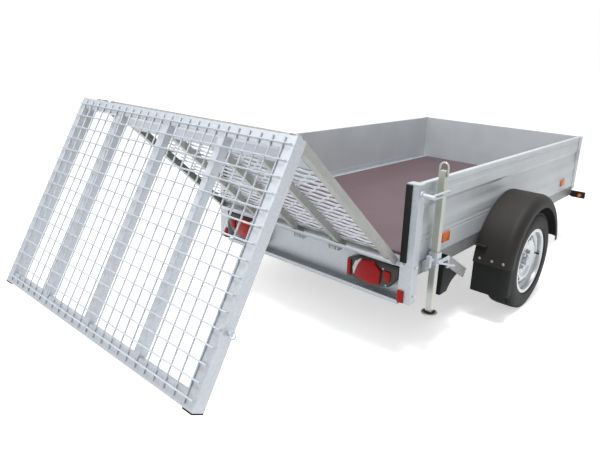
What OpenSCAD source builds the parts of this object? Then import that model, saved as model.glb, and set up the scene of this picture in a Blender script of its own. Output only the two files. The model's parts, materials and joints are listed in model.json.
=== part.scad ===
// Single-axle utility trailer with a two-leaf loading ramp.
// +Y is forward, +X is right, Z = 0 is the ground, X = 0 is the middle of the
// trailer and Y = 0 is half-way between coupling nose and ramp edge.
// Inside the modules Y counts from the rear end of the box (see placed()).

/* [Box] */
// Length of the box along the side walls
bed_length = 2200; // [1700:10:2900]
// Width of the box over its side walls
bed_width = 1260; // [1050:10:1700]
// Height of the walls
wall_height = 350; // [280:5:450]
// Thickness of a wall panel
wall_thickness = 25; // [20:1:32]
// Thickness of the floor board
floor_thickness = 15; // [9:1:21]
// Height of the floor's underside above the lower edge of the walls
floor_rise = 12; // [8:1:20]
// Width of a rear corner post across the trailer
post_width = 63; // [50:1:80]
// Depth of a rear corner post along the trailer
post_depth = 50; // [40:1:70]

/* [Chassis] */
// Height of a side beam
beam_height = 70; // [55:1:90]
// Width of a side beam
beam_width = 40; // [30:1:60]
// Wall of the side beams
beam_wall = 3; // [2:0.5:5]
// Height of the rear crossmember
rear_member_height = 184; // [150:1:200]
// Height of a drawbar leg
leg_height = 60; // [45:1:70]
// Width of a drawbar leg
leg_width = 60; // [40:1:70]
// Wall of a drawbar leg
leg_wall = 4; // [3:0.5:6]
// Drawbar length from the front wall to the ball
drawbar_reach = 1200; // [900:10:1500]

/* [Running gear] */
// Radius of the tyre
tyre_radius = 273; // [240:1:330]
// Width of the tyre
tyre_width = 155; // [125:1:185]
// Radius of the rim where the tyre sits
rim_seat = 165; // [150:1:180]
// Height of the walls' lower edge above the wheel centre
hub_drop = 202; // [195:1:260]
// Wheel centre in front of the rear end of the box
axle_place = 980; // [700:5:1500]
// Gap between box and tyre
wheel_gap = 30; // [25:1:60]
// Space between tyre and mudguard
guard_space = 92; // [70:1:120]

/* [Ramp] */
// Length of the inner leaf, hinge to hinge
inner_length = 908; // [700:1:1100]
// Length of the outer leaf from its hinge
outer_length = 844; // [650:1:960]
// How far the outer leaf reaches past the box on each side
outer_overlap = 11; // [5:1:25]
// Angle of the inner leaf above level, pointing backwards
inner_angle = 42.75; // [30:0.25:60]
// Angle of the outer leaf below level, pointing backwards
outer_angle = 61.5; // [50:0.5:75]
// Drive surface of a leaf above its hinge line
leaf_top = 48; // [44:1:56]
// Pitch of the main wires on the outer leaf
grid_pitch = 104; // [80:1:140]
// Thickness of the grid wires
wire = 5; // [4:0.5:6]

/* [Stands] */
// Side of the square prop stand tube
stand_tube = 30; // [25:1:40]
// Length of the prop stand tube
stand_length = 666; // [550:1:760]
// Height of the prop stand's foot above the ground
stand_lift = 205; // [120:1:230]
// Radius of the jockey wheel
jockey_radius = 100; // [80:1:110]
// Outer radius of the jockey wheel's leg
jockey_leg_r = 21; // [19:0.5:24]

/* [Hidden] */

$fn = 48;
LEFT = -1;
RIGHT = 1;

// Clearances
run_fit = 0.05;     // radial, shaft in a bore
slide_fit = 0.6;    // per side, stand tube in its collar
gap = 5;            // between pieces that move past each other

// Levels
deck_z = tyre_radius + hub_drop;       // lower edge of the walls
floor_z = deck_z + floor_rise;
floor_top = floor_z + floor_thickness;
wall_top = deck_z + wall_height;
beam_bottom = deck_z - beam_height;

// Widths, all measured from the middle
half_w = bed_width / 2;
wall_in = half_w - wall_thickness;
beam_out = half_w - 5;
beam_in = beam_out - beam_width;
post_out = half_w + 8;
post_in = post_out - post_width;
leaf_half = post_in - gap;

// Wheels
wheel_x = half_w + wheel_gap + tyre_width / 2;
rim_flange = rim_seat + 17;
rim_half = tyre_width / 2 - 9;
rim_disc_x = wheel_x + 33;
rim_bore = 29;
bolt_circle = 50;
stub_r = 15;
arm_length = 150;
arm_rise = 74;
axle_tube = 80;
tube_y = axle_place + arm_length;
tube_z = tyre_radius + arm_rise;
seat_top = beam_bottom;

// Mudguards
guard_r = tyre_radius + guard_space + 7;
guard_t = 4;
guard_in = half_w + 4;
guard_out = half_w + wheel_gap + tyre_width + 17;
guard_edge = tyre_radius + 32;
shoulder_r = 50;
flap_y = axle_place - guard_r + 11;
flap_t = 4;

// Drawbar
ball_y = bed_length + drawbar_reach;
leg_top = floor_z - 40;
leg_z = leg_top - leg_height;
leg_rear_y = tube_y - 80;
leg_front_y = ball_y - 170;
leg_rear_x = beam_in - leg_width / 2 - 15;
leg_front_x = leg_width / 2 + 16;
leg_angle = atan((leg_rear_x - leg_front_x) / (leg_front_y - leg_rear_y));
leg_run = norm([leg_rear_x - leg_front_x, leg_front_y - leg_rear_y]);
ball_r = 25;
nose_y = ball_y + 48;

// Jockey wheel
jockey_y = ball_y - 550;
jockey_tube_r = 24.5;
jockey_tube_z = leg_z - 10;
jockey_tube_h = 250;
jockey_trail = 35;
jockey_lift = 150;
fork_top = 2 * jockey_radius + 20;
crown_t = 12;
swivel_r = 10;

// Ramp hinges
hinge_y = -26;
hinge_z = deck_z - 18;
tip_y = hinge_y - inner_length * cos(inner_angle);
tip_z = hinge_z + inner_length * sin(inner_angle);
hinge_r = 8;
knuckle_r = 14;
tip_pin_r = 10;
inner_top = leaf_top - 14;
inner_rail = [34, 32];
inner_bar = [26, 30];
outer_half = half_w + outer_overlap;
outer_rail = 45;
outer_bar = [30, 34];
cross_depth = 25;
sheet = 3;
leaf_sheet = 2.5;

// Stands
stand_x = post_out + 7 + stand_tube / 2;
stand_y = 150;
collar = stand_tube / 2 + slide_fit;

// The row origin is half-way between the coupling nose and the lowest
// edge of the outer leaf with its wires.
wire_end = 12;
cap_t = 5;
leaf_end_y = tip_y
  - max((outer_length + cap_t) * cos(outer_angle)
        + (leaf_top + 2) * sin(outer_angle),
        (outer_length - wire_end) * cos(outer_angle)
        + (leaf_top + 2 + 1.7 * wire) * sin(outer_angle));
origin_y = (nose_y + leaf_end_y) / 2;

// ---------- shared shapes ----------

// Moves a piece from the box frame into the row frame
module placed() {
  translate([0, -origin_y, 0]) children();
}

// One side of a mirrored pair
module on_side(side) {
  placed() mirror([side == LEFT ? 1 : 0, 0, 0]) children();
}

// A pair on both sides
module both_sides() {
  for (side = [LEFT, RIGHT]) on_side(side) children();
}

// Box between two corners
module block(low, high) {
  translate(low) cube(high - low);
}

// Cylinder along X from x0 to x1
module rod_x(r, x0, x1) {
  translate([x0, 0, 0]) rotate([0, 90, 0]) cylinder(r = r, h = x1 - x0);
}

// Ring along X
module ring_x(r_out, r_in, x0, x1) {
  difference() {
    rod_x(r_out, x0, x1);
    rod_x(r_in, x0 - 1, x1 + 1);
  }
}

// Hollow rectangular tube along Y
module tube_y_dir(low, high, t) {
  difference() {
    block(low, high);
    block(low + [t, -1, t], high + [-t, 1, -t]);
  }
}

// Leaf frames: local +Y runs along the leaf, +Z is its drive side
module inner_place() {
  placed() translate([0, hinge_y, hinge_z])
    rotate([-inner_angle, 0, 0]) rotate([0, 0, 180]) children();
}

module outer_place() {
  placed() translate([0, tip_y, tip_z])
    rotate([outer_angle, 0, 0]) rotate([0, 0, 180]) children();
}

// ---------- chassis ----------

module side_beam(side) {
  color("lightslategray") on_side(side) union() {
    tube_y_dir([beam_in, post_depth, beam_bottom],
               [beam_out, bed_length - 2, deck_z], beam_wall);
    // packer under the floor's edge
    block([beam_in, post_depth, deck_z], [wall_in, bed_length - 50, floor_z]);
  }
}

bearer_rows = [0.22, 0.42, 0.63, 0.84];
bearer_w = 45;

module floor_bearers() {
  color("silver") placed() {
    for (share = bearer_rows) {
      y = share * bed_length;
      difference() {
        block([-beam_in, y, floor_z - 40], [beam_in, y + bearer_w, floor_z]);
        block([-beam_in - 1, y + 3, floor_z - 41],
              [beam_in + 1, y + bearer_w - 3, floor_z - 3]);
      }
    }
    // front crossmember
    block([-beam_in, bed_length - 42, floor_z - 40],
          [beam_in, bed_length - 38, floor_z]);
    block([-beam_in, bed_length - 38, floor_z - 4],
          [beam_in, bed_length - wall_thickness, floor_z]);
  }
}

member_y = 48;
member_top = deck_z - 21;
member_bottom = member_top - rear_member_height;

module rear_crossmember() {
  color("gainsboro") placed() union() {
    // web behind the lamps, with flanges reaching back
    block([-post_in, member_y - sheet, member_bottom],
          [post_in, member_y, member_top]);
    block([-post_in, 0, member_top - sheet], [post_in, member_y, member_top]);
    block([-post_in, 0, member_bottom],
          [post_in, member_y, member_bottom + sheet]);
    block([-post_in, 0, member_bottom],
          [post_in, sheet, member_bottom + 20]);
    // sill that carries the floor's rear edge
    block([-post_in, member_y - 12, member_top],
          [post_in, member_y, floor_z]);
  }
}

module rear_posts() {
  color("gainsboro") both_sides() difference() {
    block([post_in, 0, deck_z - 190], [post_out, post_depth, wall_top]);
    // hollow inside, open at the bottom
    block([post_in + sheet, sheet, deck_z - 191],
          [post_out - sheet, post_depth - sheet, wall_top - sheet]);
  }
}

module front_posts() {
  color("silver") both_sides() difference() {
    block([wall_in, bed_length - 50, deck_z],
          [half_w + 4, bed_length + 4, wall_top + 2]);
    // hook slot on the outer face
    block([half_w - 4, bed_length - 38, deck_z + 185],
          [half_w + 5, bed_length - 24, deck_z + 262]);
  }
  color("silver") both_sides()
    block([beam_out, bed_length - 44, deck_z - 25],
          [half_w + 4, bed_length + 4, deck_z]);
}

// ---------- box ----------

// Section of a wall: x is outwards from the inner face, y is height. The
// middle is set back between a dark undercut and a bright sloping shoulder.
module wall_section() {
  t = wall_thickness;
  step = 1.6;
  polygon([
    [0, 0], [t, 0], [t, 82], [t - step, 87], [t - step, 93], [t, 95],
    [t, 99], [t - step, 105], [t - step, 118], [t, 120], [t, 146],
    [t - 0.8, 156], [t - 3, 166], [t - 6, 178], [t - 8, 190], [t - 8.5, 197],
    [t - 8.5, 239], [t - 7, 244], [t - 2, 252], [t, 257], [t, 297],
    [t - step, 300], [t - 2.6, 322], [t, 325], [t, wall_height - 5],
    [t - 2, wall_height], [0, wall_height]
  ]);
}

module side_wall(side) {
  color("silver") on_side(side)
    translate([wall_in, bed_length - 50, deck_z]) rotate([90, 0, 0])
      linear_extrude(bed_length - 50 - post_depth) wall_section();
}

module front_wall() {
  color("silver") placed()
    translate([-wall_in, bed_length - wall_thickness, deck_z])
      rotate([90, 0, 90]) linear_extrude(2 * wall_in) wall_section();
}

strip_w = 28;
strip_t = 2;

module floor_panel() {
  color("dimgray") placed() difference() {
    block([-wall_in, member_y - 12, floor_z],
          [wall_in, bed_length - wall_thickness, floor_top]);
    for (side = [-1, 1]) scale([side, 1, 1]) {
      block([post_in, 0, floor_z - 1], [wall_in + 1, post_depth, floor_top + 1]);
      // rebate for the edge strip
      block([wall_in - strip_w, 0, floor_top - strip_t],
            [wall_in + 1, bed_length, floor_top + 1]);
    }
  }
}

// An angle along each wall, let into the floor's edge
module edge_strips() {
  color("gainsboro") both_sides() {
    block([wall_in - strip_w, post_depth, floor_top - strip_t],
          [wall_in, bed_length - wall_thickness, floor_top]);
    block([wall_in - strip_t, post_depth, floor_top - strip_t],
          [wall_in, bed_length - wall_thickness, floor_top + strip_w]);
  }
}

module post_seals() {
  color("black") both_sides()
    block([post_in, -6, deck_z], [post_in + 31, 0, wall_top - 5]);
}

// ---------- running gear ----------

module axle_beam() {
  color("lightgray") placed() union() {
    translate([-half_w - 8, tube_y - axle_tube / 2, tube_z - axle_tube / 2])
      difference() {
        cube([2 * half_w + 16, axle_tube, axle_tube]);
        translate([-1, 6, 6])
          cube([2 * half_w + 18, axle_tube - 12, axle_tube - 12]);
      }
    for (side = [-1, 1]) scale([side, 1, 1])
      block([beam_in, tube_y - 60, tube_z + axle_tube / 2],
            [beam_out, tube_y + 60, seat_top]);
  }
}

arm_x0 = half_w + 8;
arm_x1 = arm_x0 + 16;
hub_flange_x = rim_disc_x - 4;

module trailing_arm(side) {
  color("gray") on_side(side) union() {
    // arm as a bar between its two round ends
    translate([0, axle_place, tyre_radius]) rod_x(38, arm_x0, arm_x1);
    translate([0, tube_y, tube_z]) rod_x(44, arm_x0, arm_x1);
    translate([arm_x0, tube_y, tube_z])
      rotate([180 + atan(arm_rise / arm_length), 0, 0])
        translate([0, 0, -34])
          cube([arm_x1 - arm_x0, norm([arm_length, arm_rise]), 68]);
    translate([0, axle_place, tyre_radius])
      rod_x(stub_r, arm_x1, rim_disc_x + 12);
  }
}

module hub(side) {
  color("silver") on_side(side)
    translate([0, axle_place, tyre_radius]) difference() {
      union() {
        rod_x(42, arm_x1 + gap, hub_flange_x);
        rod_x(68, hub_flange_x - 12, hub_flange_x);
        rod_x(rim_bore, hub_flange_x, rim_disc_x + 22);
        for (turn = [0 : 90 : 270])
          rotate([turn + 45, 0, 0]) translate([0, bolt_circle, 0])
            rod_x(6, hub_flange_x - 2, rim_disc_x + 16);
      }
      rod_x(stub_r + run_fit, arm_x1, rim_disc_x + 12.5);
    }
}

module rim(side) {
  lip = rim_seat - 22;
  color("silver") on_side(side)
    translate([0, axle_place, tyre_radius]) difference() {
      union() {
        // outer band with its flanges and drop centre
        translate([wheel_x, 0, 0]) rotate([0, 90, 0]) rotate_extrude($fn = 96)
          union() {
            translate([lip, -rim_half]) square([4, 2 * rim_half]);
            for (end = [-1, 1]) scale([1, end]) {
              translate([lip, rim_half - 32]) square([rim_seat - lip, 4]);
              translate([rim_seat - 4, rim_half - 32]) square([4, 32]);
              translate([rim_seat - 4, rim_half - 4])
                square([rim_flange - rim_seat + 4, 4]);
            }
          }
        // dished disc
        translate([rim_disc_x, 0, 0]) rotate([0, 90, 0])
          rotate_extrude($fn = 96)
            polygon([[0, -4], [78, -4], [100, 6], [122, 8], [lip + 1, -9],
                     [lip + 1, -4], [124, 13], [98, 11], [76, 0], [0, 0]]);
      }
      rod_x(rim_bore + run_fit, rim_disc_x - 40, rim_disc_x + 40);
      for (turn = [0 : 90 : 270])
        rotate([turn + 45, 0, 0]) translate([0, bolt_circle, 0])
          rod_x(6 + run_fit, rim_disc_x - 40, rim_disc_x + 40);
      // pairs of round vents
      for (turn = [0 : 45 : 315]) for (twin = [-7, 7])
        rotate([turn + twin, 0, 0]) translate([0, 120, 0])
          rod_x(10, rim_disc_x - 40, rim_disc_x + 40);
    }
}

module tyre(side) {
  round_r = 26;
  color([0.1, 0.1, 0.1]) on_side(side)
    translate([wheel_x, axle_place, tyre_radius]) rotate([0, 90, 0])
      rotate_extrude($fn = 96) difference() {
        union() {
          translate([rim_seat, -rim_half + 5])
            square([30, 2 * rim_half - 10]);
          translate([rim_seat + 9, -tyre_width / 2 + round_r])
            square([tyre_radius - rim_seat - 9, tyre_width - 2 * round_r]);
          translate([rim_flange + 2, -tyre_width / 2])
            square([tyre_radius - round_r - rim_flange - 2, tyre_width]);
          for (end = [-1, 1])
            translate([tyre_radius - round_r,
                       end * (tyre_width / 2 - round_r)])
              circle(r = round_r);
        }
        // air space
        translate([rim_seat + 14, -tyre_width / 2 + 22])
          square([tyre_radius - rim_seat - 28, tyre_width - 44]);
      }
}

// Mudguard section: x is radius, y is the distance from the box
module guard_section() {
  width = guard_out - guard_in;
  difference() {
    union() {
      square([guard_r, width - shoulder_r]);
      square([guard_r - shoulder_r, width]);
      translate([guard_r - shoulder_r, width - shoulder_r])
        circle(r = shoulder_r, $fn = 64);
    }
    translate([-1, -1]) square([guard_r - guard_t + 1,
                                width - shoulder_r + 1]);
    translate([-1, -1]) square([guard_r - shoulder_r + 1, width - guard_t + 1]);
    translate([guard_r - shoulder_r, width - shoulder_r])
      circle(r = shoulder_r - guard_t, $fn = 64);
    translate([-1, width - guard_t - 1]) square([guard_edge + 1, guard_t + 2]);
  }
}

guard_from = 10;
guard_to = 172;

module mudguard(side) {
  pad_z = tyre_radius + 66;
  stay_reach = tyre_radius + 27;
  color([0.16, 0.16, 0.16]) on_side(side) union() {
    translate([guard_in, axle_place, tyre_radius])
      rotate([guard_from, 0, 0]) rotate([90, 0, 90])
        rotate_extrude(angle = guard_to - guard_from, $fn = 120)
          guard_section();
    // pad behind the flap
    block([guard_in, axle_place - guard_r + 9, pad_z],
          [guard_out - shoulder_r, flap_y + flap_t + 4, pad_z + 8]);
    // stays down from the side beam
    for (y = [axle_place - stay_reach, axle_place + stay_reach])
      block([beam_out, y, beam_bottom + 10], [guard_in + 60, y + 30,
                                              beam_bottom + 14]);
    block([guard_in, axle_place - guard_r + 1, beam_bottom + 10],
          [guard_in + 60, axle_place - stay_reach + 30, beam_bottom + 14]);
    block([guard_in, axle_place + stay_reach, beam_bottom + 10],
          [guard_in + 60, axle_place + guard_r - 2, beam_bottom + 14]);
  }
}

// The flap hangs inside the guard's end and wraps round its outer edge
module mud_flaps() {
  edge = guard_out - guard_t - 2;
  r = shoulder_r - guard_t - 2;
  color([0.1, 0.12, 0.12]) both_sides()
    translate([0, flap_y, tyre_radius - 108]) linear_extrude(108 + 66) {
      translate([guard_in + 2, 0]) square([edge - r - guard_in - 2, flap_t]);
      translate([edge - r, r]) difference() {
        circle(r = r);
        circle(r = r - flap_t);
        translate([-r - 1, -r - 1]) square([r + 1, 2 * r + 2]);
        translate([-r - 1, 0]) square([2 * r + 2, r + 1]);
      }
      translate([edge - flap_t, r]) square([flap_t, 42]);
    }
}

// ---------- drawbar and coupling ----------

module drawbar_leg(side) {
  color("silver") on_side(side)
    translate([leg_rear_x, leg_rear_y, leg_z])
      rotate([0, 0, leg_angle]) difference() {
        translate([-leg_width / 2, 0, 0])
          cube([leg_width, leg_run, leg_height]);
        translate([-leg_width / 2 + leg_wall, -1, leg_wall])
          cube([leg_width - 2 * leg_wall, leg_run + 2,
                leg_height - 2 * leg_wall]);
      }
}

ball_z = leg_top - 8;

module coupling_body() {
  color("lightgray") placed() difference() {
    union() {
      // rear saddle over both legs
      block([-60, leg_front_y - 60, leg_top], [60, ball_y - 70, leg_top + 8]);
      // body
      block([-32, leg_front_y - 20, leg_top], [32, ball_y, leg_top + 48]);
      translate([0, ball_y, ball_z - 16]) cylinder(r = 48, h = 72);
      block([-40, ball_y - 100, leg_top], [40, ball_y, leg_top + 40]);
    }
    // ball socket, open below
    translate([0, ball_y, ball_z - 17]) cylinder(r = ball_r + 0.2, h = 37);
    translate([0, ball_y, ball_z + 20]) sphere(r = ball_r + 0.2);
  }
}

module coupling_handle() {
  top = leg_top + 48;
  color([0.15, 0.15, 0.15]) placed() union() {
    block([-14, ball_y - 110, top], [14, ball_y - 60, top + 26]);
    block([-18, ball_y - 240, top + 14], [18, ball_y - 60, top + 26]);
  }
}

// ---------- jockey wheel ----------

module jockey_clamp() {
  plate_y = jockey_y + jockey_tube_r + 12;
  plate_t = 8;
  // inner face of a leg at the plate's front side
  reach = leg_front_x + (leg_front_y - plate_y - plate_t) * tan(leg_angle)
          - leg_width / 2 / cos(leg_angle);
  color("silver") placed() difference() {
    union() {
      block([-reach, plate_y, leg_z + 4], [reach, plate_y + plate_t, leg_top - 4]);
      block([-30, jockey_y, leg_z + 6], [30, plate_y, leg_top - 6]);
      translate([0, jockey_y, leg_z + 6])
        cylinder(r = jockey_tube_r + 8, h = leg_height - 12);
      // screw with its tee bar
      translate([0, jockey_y, leg_z + leg_height / 2])
        rod_x(6, jockey_tube_r + 4, 78);
      translate([70, jockey_y - 35, leg_z + leg_height / 2 - 5])
        cube([10, 70, 10]);
    }
    translate([0, jockey_y, leg_z]) cylinder(r = jockey_tube_r,
                                             h = leg_height + 1);
  }
}

module jockey_tube() {
  color("silver") placed() translate([0, jockey_y, jockey_tube_z])
    difference() {
      cylinder(r = jockey_tube_r, h = jockey_tube_h);
      translate([0, 0, -1])
        cylinder(r = jockey_leg_r + run_fit, h = jockey_tube_h - 5);
    }
}

module jockey_crank() {
  top = jockey_tube_z + jockey_tube_h;
  color([0.15, 0.15, 0.15]) placed() translate([0, jockey_y, top]) union() {
    cylinder(r = 16, h = 16);
    block([-9, -9, 10], [120, 9, 16]);
    translate([110, 0, 10]) cylinder(r = 12, h = 75);
  }
}

module jockey_leg() {
  low = fork_top + 1;
  high = jockey_tube_z + jockey_tube_h - jockey_lift - 15;
  color("silver") placed() translate([0, jockey_y, low]) union() {
    difference() {
      cylinder(r = jockey_leg_r, h = high - low);
      translate([0, 0, 8]) cylinder(r = jockey_leg_r - 3, h = high - low);
    }
    // swivel pin down into the fork's crown
    translate([0, 0, -crown_t]) cylinder(r = swivel_r, h = crown_t + 1);
  }
}

module jockey_fork() {
  cheek_in = 30;
  color("silver") placed() translate([0, jockey_y, 0]) union() {
    difference() {
      block([-34, -jockey_trail - 25, fork_top - crown_t],
            [34, jockey_leg_r + 4, fork_top]);
      translate([0, 0, fork_top - crown_t - 1])
        cylinder(r = swivel_r + run_fit, h = crown_t + 2);
    }
    for (side = [-1, 1]) scale([side, 1, 1]) {
      block([cheek_in, -jockey_trail - 25, jockey_radius - 20],
            [cheek_in + 4, -jockey_trail + 25, fork_top]);
    }
    translate([0, -jockey_trail, jockey_radius]) rod_x(8, -38, 38);
  }
}

module jockey_wheel() {
  color([0.1, 0.1, 0.1]) placed()
    translate([0, jockey_y - jockey_trail, jockey_radius]) difference() {
      union() {
        ring_x(jockey_radius, jockey_radius - 28, -25, 25);
        ring_x(jockey_radius - 27, 18, -6, 6);
        rod_x(20, -27, 27);
      }
      rod_x(8 + run_fit, -28, 28);
    }
}

// ---------- lamps ----------

lamp_in = post_in - 285;
lamp_out = post_in - 2;
lamp_low = deck_z - 154;
lamp_high = member_top - sheet - 5;
lamp_face = -3;

// Outline of a lamp's housing: x across, y up
module lamp_outline() {
  polygon([[lamp_in, lamp_low + 4], [lamp_in, lamp_high - 31],
           [lamp_in + 78, lamp_high], [lamp_out, lamp_high],
           [lamp_out, lamp_low + 76], [lamp_out - 46, lamp_low + 15],
           [lamp_out - 130, lamp_low], [lamp_in + 60, lamp_low]]);
}

module tail_lamps() {
  color([0.08, 0.08, 0.08]) both_sides()
    translate([0, member_y - sheet, 0]) rotate([90, 0, 0])
      linear_extrude(member_y - sheet - lamp_face) lamp_outline();
}

module tail_lenses() {
  color([0.75, 0.08, 0.08]) both_sides()
    translate([0, lamp_face, 0]) rotate([90, 0, 0]) {
      // main lens with its wedge side
      linear_extrude(14)
        polygon([[lamp_in + 48, lamp_low + 24], [lamp_in + 90, lamp_high - 10],
                 [lamp_in + 152, lamp_high - 4], [lamp_in + 197, lamp_low + 84],
                 [lamp_in + 191, lamp_low + 16],
                 [lamp_in + 150, lamp_low + 6]]);
      linear_extrude(9) {
        // small square lamp and dark edge lens
        translate([lamp_in + 210, lamp_low + 42]) square([36, 50]);
        translate([lamp_in + 3, lamp_low + 12]) square([22, 78]);
      }
    }
}

module rear_reflectors() {
  color([0.8, 0.1, 0.05]) both_sides()
    block([post_in + 1, -8, deck_z - 190 + 2],
          [post_in + 32, 0, deck_z - 131]);
}

module side_reflectors() {
  color("darkorange") both_sides() for (y = [250, bed_length - 320])
    block([half_w, y, deck_z + 38], [half_w + 7, y + 70, deck_z + 84]);
}

module marker_arms() {
  arm_y = bed_length - 30;
  arm_z = deck_z - 59;
  lens_x = half_w + 62;
  color([0.1, 0.1, 0.1]) both_sides() {
    block([beam_out - 30, arm_y, beam_bottom - 5],
          [beam_out + 24, arm_y + 40, beam_bottom]);
    block([beam_out + 4, arm_y, arm_z - 22],
          [half_w + 84, arm_y + 22, arm_z + 22]);
    translate([half_w + 84, arm_y + 11, arm_z - 22])
      cylinder(r = 11, h = 44);
    translate([lens_x, arm_y - 8, arm_z]) rotate([-90, 0, 0])
      cylinder(r = 15, h = 38);
  }
}

// ---------- stands, latches and chocks ----------

module stand_clamps() {
  out = collar + 5;
  color("gainsboro") both_sides() difference() {
    union() {
      translate([stand_x, stand_y, deck_z - 28])
        block([-out, -out, 0], [out, out, 56]);
      // foot of the bracket on the side beam
      block([beam_out, stand_y - 45, deck_z - 60],
            [stand_x - collar - 1, stand_y + 45, deck_z - 10]);
      // screw and curved lever
      translate([stand_x, stand_y - out - 26, deck_z - 4])
        rotate([-90, 0, 0]) cylinder(r = 9, h = 30);
      translate([stand_x - 10, stand_y - out - 40, deck_z - 30])
        cube([20, 16, 52]);
      translate([stand_x + out - 2, stand_y - 20, deck_z - 16])
        cube([14, 16, 12]);
      translate([stand_x + out + 3, stand_y - 20, deck_z - 16])
        cube([9, 100, 12]);
      translate([stand_x + out + 3, stand_y + 68, deck_z - 60])
        cube([9, 12, 54]);
    }
    translate([stand_x, stand_y, deck_z - 80])
      block([-collar, -collar, 0], [collar, collar, 160]);
  }
}

module prop_stand(side) {
  top = stand_lift + stand_length;
  half = stand_tube / 2;
  bow_r = half + 5;
  color([0.72, 0.74, 0.66]) on_side(side) translate([stand_x, stand_y, 0])
    union() {
      difference() {
        block([-half, -half, stand_lift], [half, half, top]);
        block([-half + 3, -half + 3, stand_lift - 1],
              [half - 3, half - 3, top - 3]);
      }
      // round foot
      difference() {
        translate([0, 0, stand_lift]) cylinder(r = 37, h = 6);
        block([-half + 1, -half + 1, stand_lift - 1],
              [half - 1, half - 1, stand_lift + 7]);
      }
      // bow handle
      translate([0, 0, top + 14]) rotate([90, 0, 0])
        rotate_extrude(angle = 180) translate([bow_r, 0]) circle(r = 4.5);
      for (x = [-bow_r, bow_r])
        translate([x, 0, top - 26]) cylinder(r = 4.5, h = 40);
      block([-bow_r, -4, top - 10], [bow_r, 4, top - 2]);
    }
}

module ramp_latches() {
  bail_x = stand_x + stand_tube / 2 + 19;
  bail_z = deck_z + 306;
  bail_r = 4;
  bail_length = 128;
  color("gainsboro") both_sides() union() {
    translate([0, 22, bail_z]) rod_x(9, post_out, bail_x + 6);
    translate([0, 22, bail_z]) rod_x(17, post_out, post_out + 8);
    for (dz = [-8, 8]) translate([bail_x, 22, bail_z + dz])
      rotate([-90, 0, 0]) cylinder(r = bail_r, h = bail_length);
    translate([bail_x, 22 + bail_length, bail_z]) rotate([0, 90, 0])
      rotate_extrude(angle = 180) translate([8, 0]) circle(r = bail_r);
  }
}

chock_low = [stand_y + 50, deck_z - 194];
chock_base = [[stand_y + 92, deck_z - 8], [stand_y + 288, deck_z - 128]];
chock_x0 = half_w + 4;
chock_x1 = half_w + 47;

// A tab of the holder stands at each end of the chock's base
module chock_holders() {
  a = chock_base[0];
  b = chock_base[1];
  lean = atan((a[1] - b[1]) / (b[0] - a[0]));
  color("darkgray") both_sides() translate([0, a[0], a[1]])
    rotate([-lean, 0, 0]) union() {
      block([chock_x0 - 1, -8, 0.3], [chock_x1 + 1, norm(b - a) + 8, sheet]);
      block([chock_x0 - 1, norm(b - a) + 5, -26],
            [chock_x1 + 1, norm(b - a) + 8, sheet]);
      block([beam_out + 0.2, 20, 0.3], [chock_x0, 60, sheet]);
      // side sheet over the chock's upper part
      block([chock_x1 + 0.3, -8, -46],
            [chock_x1 + sheet, norm(b - a) + 8, sheet]);
    }
}

module wheel_chocks() {
  a = chock_base[0];
  b = chock_base[1];
  upper = b - [10, 14];
  lower = chock_low + [66, 0];
  chord = upper - lower;
  hollow = 30;
  hollow_r = (pow(norm(chord) / 2, 2) + pow(hollow, 2)) / (2 * hollow);
  away = [chord[1], -chord[0]] / norm(chord);
  color([0.1, 0.1, 0.1]) both_sides()
    translate([chock_x0, 0, 0]) rotate([90, 0, 90])
      linear_extrude(chock_x1 - chock_x0) difference() {
        polygon([a, b, upper, lower, chock_low, a - [30, 60]]);
        // hollow face that meets the tyre
        translate((upper + lower) / 2 + away * (hollow_r - hollow))
          circle(r = hollow_r, $fn = 96);
      }
}

// ---------- ramp ----------

hinge_places = [-225, 0, 225];

module bed_hinge() {
  color("silver") placed() for (x = hinge_places)
    translate([x, hinge_y, hinge_z]) union() {
      rod_x(hinge_r, -30, 30);
      for (side = [-1, 1]) scale([side, 1, 1]) {
        rod_x(knuckle_r, 22, 28);
        block([22, 0, -knuckle_r], [28, -hinge_y, 2]);
      }
    }
}

inner_bars = [-0.48, 0, 0.48];

module inner_leaf_frame() {
  rail_low = inner_top - inner_rail[1];
  bar_low = inner_top - inner_bar[1];
  end_y = inner_length - 24;
  boss_r = knuckle_r + 3;
  color([0.66, 0.69, 0.64]) inner_place() difference() {
    union() {
      for (side = [-1, 1]) scale([side, 1, 1]) {
        difference() {
          block([leaf_half - inner_rail[0], 6, rail_low],
                [leaf_half, end_y, inner_top]);
          block([leaf_half - inner_rail[0] - 1, 5, rail_low + leaf_sheet],
                [leaf_half - leaf_sheet, end_y + 1, inner_top - leaf_sheet]);
        }
        // plate and boss that carry the tip pin
        block([leaf_half - 12, end_y - 60, -boss_r],
              [leaf_half, inner_length, boss_r]);
        translate([0, inner_length, 0])
          rod_x(boss_r, leaf_half - 26, leaf_half);
      }
      for (share = inner_bars) {
        x = share * leaf_half;
        difference() {
          block([x - inner_bar[0] / 2, 6, bar_low],
                [x + inner_bar[0] / 2, end_y, inner_top]);
          block([x - inner_bar[0] / 2 + leaf_sheet, 5, bar_low + leaf_sheet],
                [x + inner_bar[0] / 2 + 1, end_y + 1,
                 inner_top - leaf_sheet]);
        }
      }
      // cross members at both ends
      for (y = [[6, 60], [end_y - 30, end_y]])
        block([-leaf_half + inner_rail[0] - 1, y[0], inner_top - 6],
              [leaf_half - inner_rail[0] + 1, y[1], inner_top]);
      // hinge knuckles
      for (x = hinge_places) {
        translate([x, 0, 0]) rod_x(knuckle_r, -16, 16);
        block([x - 16, 0, 0], [x + 16, 36, inner_top - 4]);
      }
    }
    for (x = hinge_places)
      translate([x, 0, 0]) rod_x(hinge_r + run_fit, -17, 17);
    translate([0, inner_length, 0])
      rod_x(tip_pin_r + run_fit, -leaf_half - 1, leaf_half + 1);
  }
}

grating_pitch = [95, 46];
grating_t = 2;

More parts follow.
